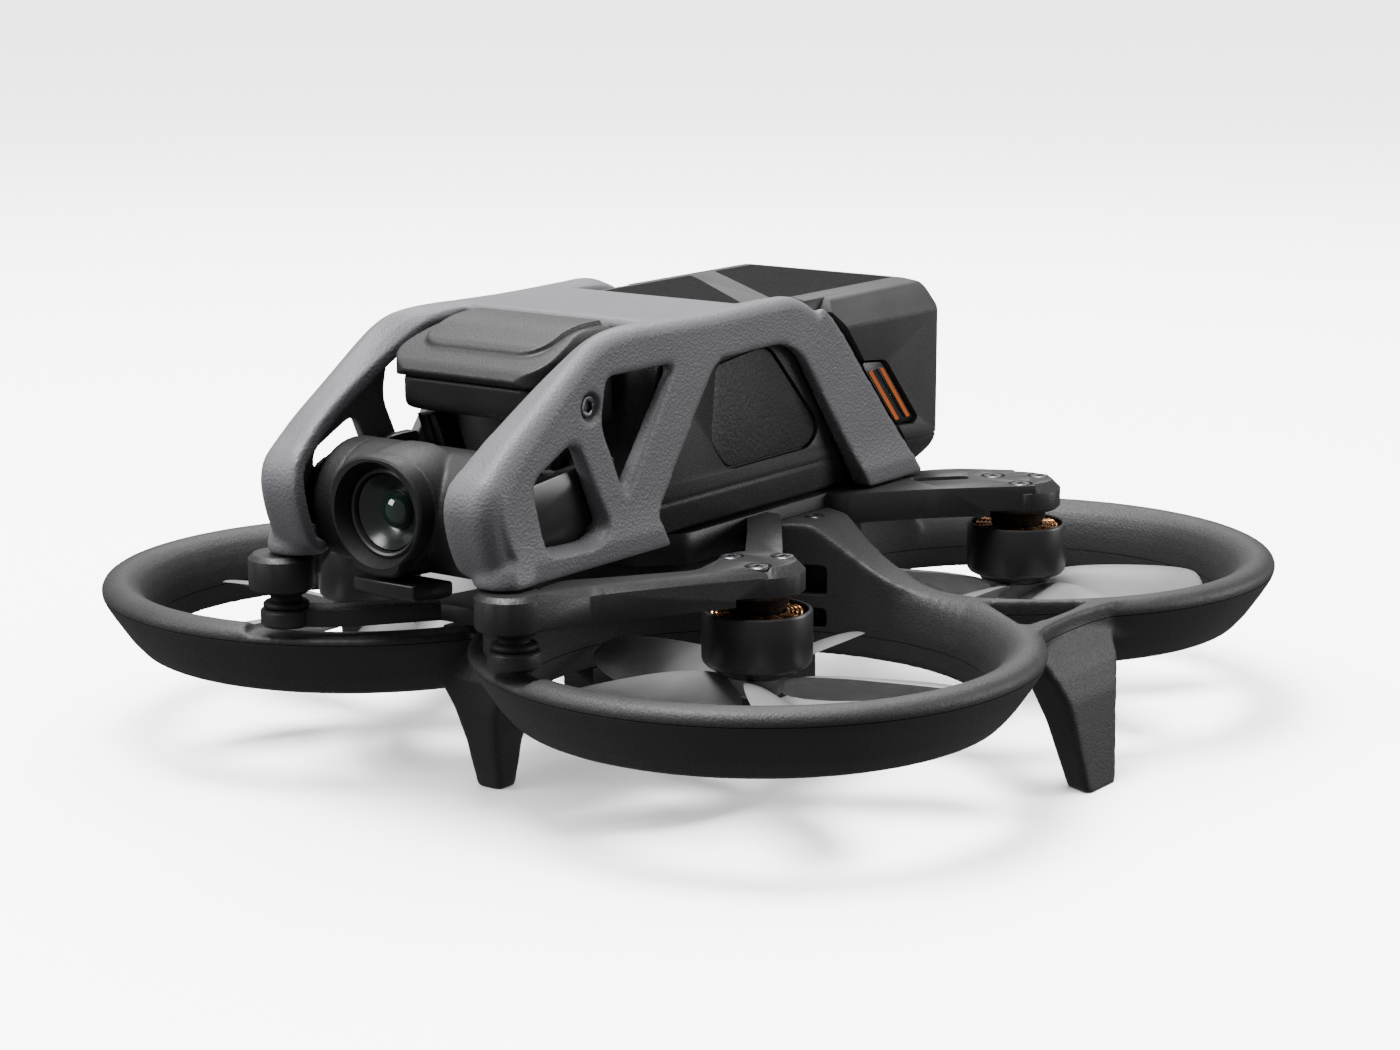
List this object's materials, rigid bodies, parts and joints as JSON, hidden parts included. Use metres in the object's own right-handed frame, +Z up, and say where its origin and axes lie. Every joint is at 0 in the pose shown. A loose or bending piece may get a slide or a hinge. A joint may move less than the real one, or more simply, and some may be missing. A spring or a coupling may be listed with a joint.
{
  "type": "ducted racing drone",
  "caption": "Small ducted first-person-view drone with ring guards, hanging motors, pusher propellers, a tilting camera in a pierced canopy and a slide-out rear battery.",
  "frame": {"origin": "centre of the bounding box at the height of the foot tips", "axes": "+Z up, nose and camera towards -Y, the drone's left side towards +X"},
  "size_m": [0.18, 0.18, 0.0795],
  "materials": {
    "guard_plastic": "fine moulded grain",
    "frame_black": "fine moulded grain",
    "canopy_grey": "leather-like moulded grain",
    "cover_grey": "fine moulded grain",
    "battery_grey": "fine moulded grain",
    "satin_black": "satin",
    "copper_winding": "enamelled copper wire",
    "blade_grey": "semi-gloss translucent",
    "rubber_black": "matte",
    "lens_dark": "polished",
    "steel": "brushed",
    "latch_black": "satin"
  },
  "bodies": {
    "airframe": {"guard_lower": "guard_plastic", "side_foot_left": "guard_plastic", "side_foot_right": "guard_plastic", "guard_rim": "guard_plastic", "belly_housing": "frame_black", "vision_lens_1": "lens_dark", "vision_lens_2": "lens_dark", "frame_deck": "frame_black", "mount_screw_front_left_1": "steel", "mount_screw_front_left_2": "steel", "mount_screw_front_left_3": "steel", "mount_screw_front_right_1": "steel", "mount_screw_front_right_2": "steel", "mount_screw_front_right_3": "steel", "mount_screw_rear_left_1": "steel", "mount_screw_rear_left_2": "steel", "mount_screw_rear_left_3": "steel", "mount_screw_rear_right_1": "steel", "mount_screw_rear_right_2": "steel", "mount_screw_rear_right_3": "steel", "damper_plate": "frame_black", "damper_left": "rubber_black", "damper_right": "rubber_black", "stator_front_left": "copper_winding", "stator_front_right": "copper_winding", "stator_rear_left": "copper_winding", "stator_rear_right": "copper_winding", "battery_bay": "cover_grey", "side_panel_left": "battery_grey", "side_panel_right": "battery_grey", "body_block": "frame_black", "canopy_frame": "canopy_grey", "canopy_screw_left": "steel", "canopy_screw_right": "steel", "nose_cover": "cover_grey", "cover_tray": "satin_black", "camera_yoke_left": "satin_black", "camera_yoke_right": "satin_black"},
    "rotor_front_left": {"motor_bell_front_left": "satin_black", "propeller_front_left": "blade_grey"},
    "rotor_front_right": {"motor_bell_front_right": "satin_black", "propeller_front_right": "blade_grey"},
    "rotor_rear_left": {"motor_bell_rear_left": "satin_black", "propeller_rear_left": "blade_grey"},
    "rotor_rear_right": {"motor_bell_rear_right": "satin_black", "propeller_rear_right": "blade_grey"},
    "camera": {"camera_body": "frame_black", "lens_ring": "satin_black", "lens_glass": "lens_dark", "camera_chin": "satin_black"},
    "battery": {"battery_pack": "battery_grey"},
    "latch_left": {"battery_latch_left": "latch_black"},
    "latch_right": {"battery_latch_right": "latch_black"},
    "button": {"power_button": "latch_black"}
  },
  "joints": [
    {"name": "rotor_front_left_spin", "type": "hinge", "parent": "airframe", "child": "rotor_front_left", "pos_m": [0.04243, -0.04243, 0.0265], "axis": [0, 0, 1], "continuous": true},
    {"name": "rotor_front_right_spin", "type": "hinge", "parent": "airframe", "child": "rotor_front_right", "pos_m": [-0.04243, -0.04243, 0.0265], "axis": [0, 0, 1], "continuous": true},
    {"name": "rotor_rear_left_spin", "type": "hinge", "parent": "airframe", "child": "rotor_rear_left", "pos_m": [0.04243, 0.04243, 0.0265], "axis": [0, 0, 1], "continuous": true},
    {"name": "rotor_rear_right_spin", "type": "hinge", "parent": "airframe", "child": "rotor_rear_right", "pos_m": [-0.04243, 0.04243, 0.0265], "axis": [0, 0, 1], "continuous": true},
    {"name": "camera_tilt", "type": "hinge", "parent": "airframe", "child": "camera", "pos_m": [0, -0.074, 0.0505], "axis": [-1, 0, 0], "range_deg": [-90, 70]},
    {"name": "battery_slide", "type": "slide", "parent": "airframe", "child": "battery", "axis": [0, 1, 0], "range_m": [0, 0.08]},
    {"name": "latch_left_press", "type": "slide", "parent": "battery", "child": "latch_left", "axis": [-1, 0, 0], "range_m": [0, 0.0014], "stiffness_N_per_m": 900},
    {"name": "latch_right_press", "type": "slide", "parent": "battery", "child": "latch_right", "axis": [1, 0, 0], "range_m": [0, 0.0014], "stiffness_N_per_m": 900},
    {"name": "power_button_press", "type": "slide", "parent": "battery", "child": "button", "axis": [0, -1, 0], "range_m": [0, 0.0007], "stiffness_N_per_m": 900}
  ]
}
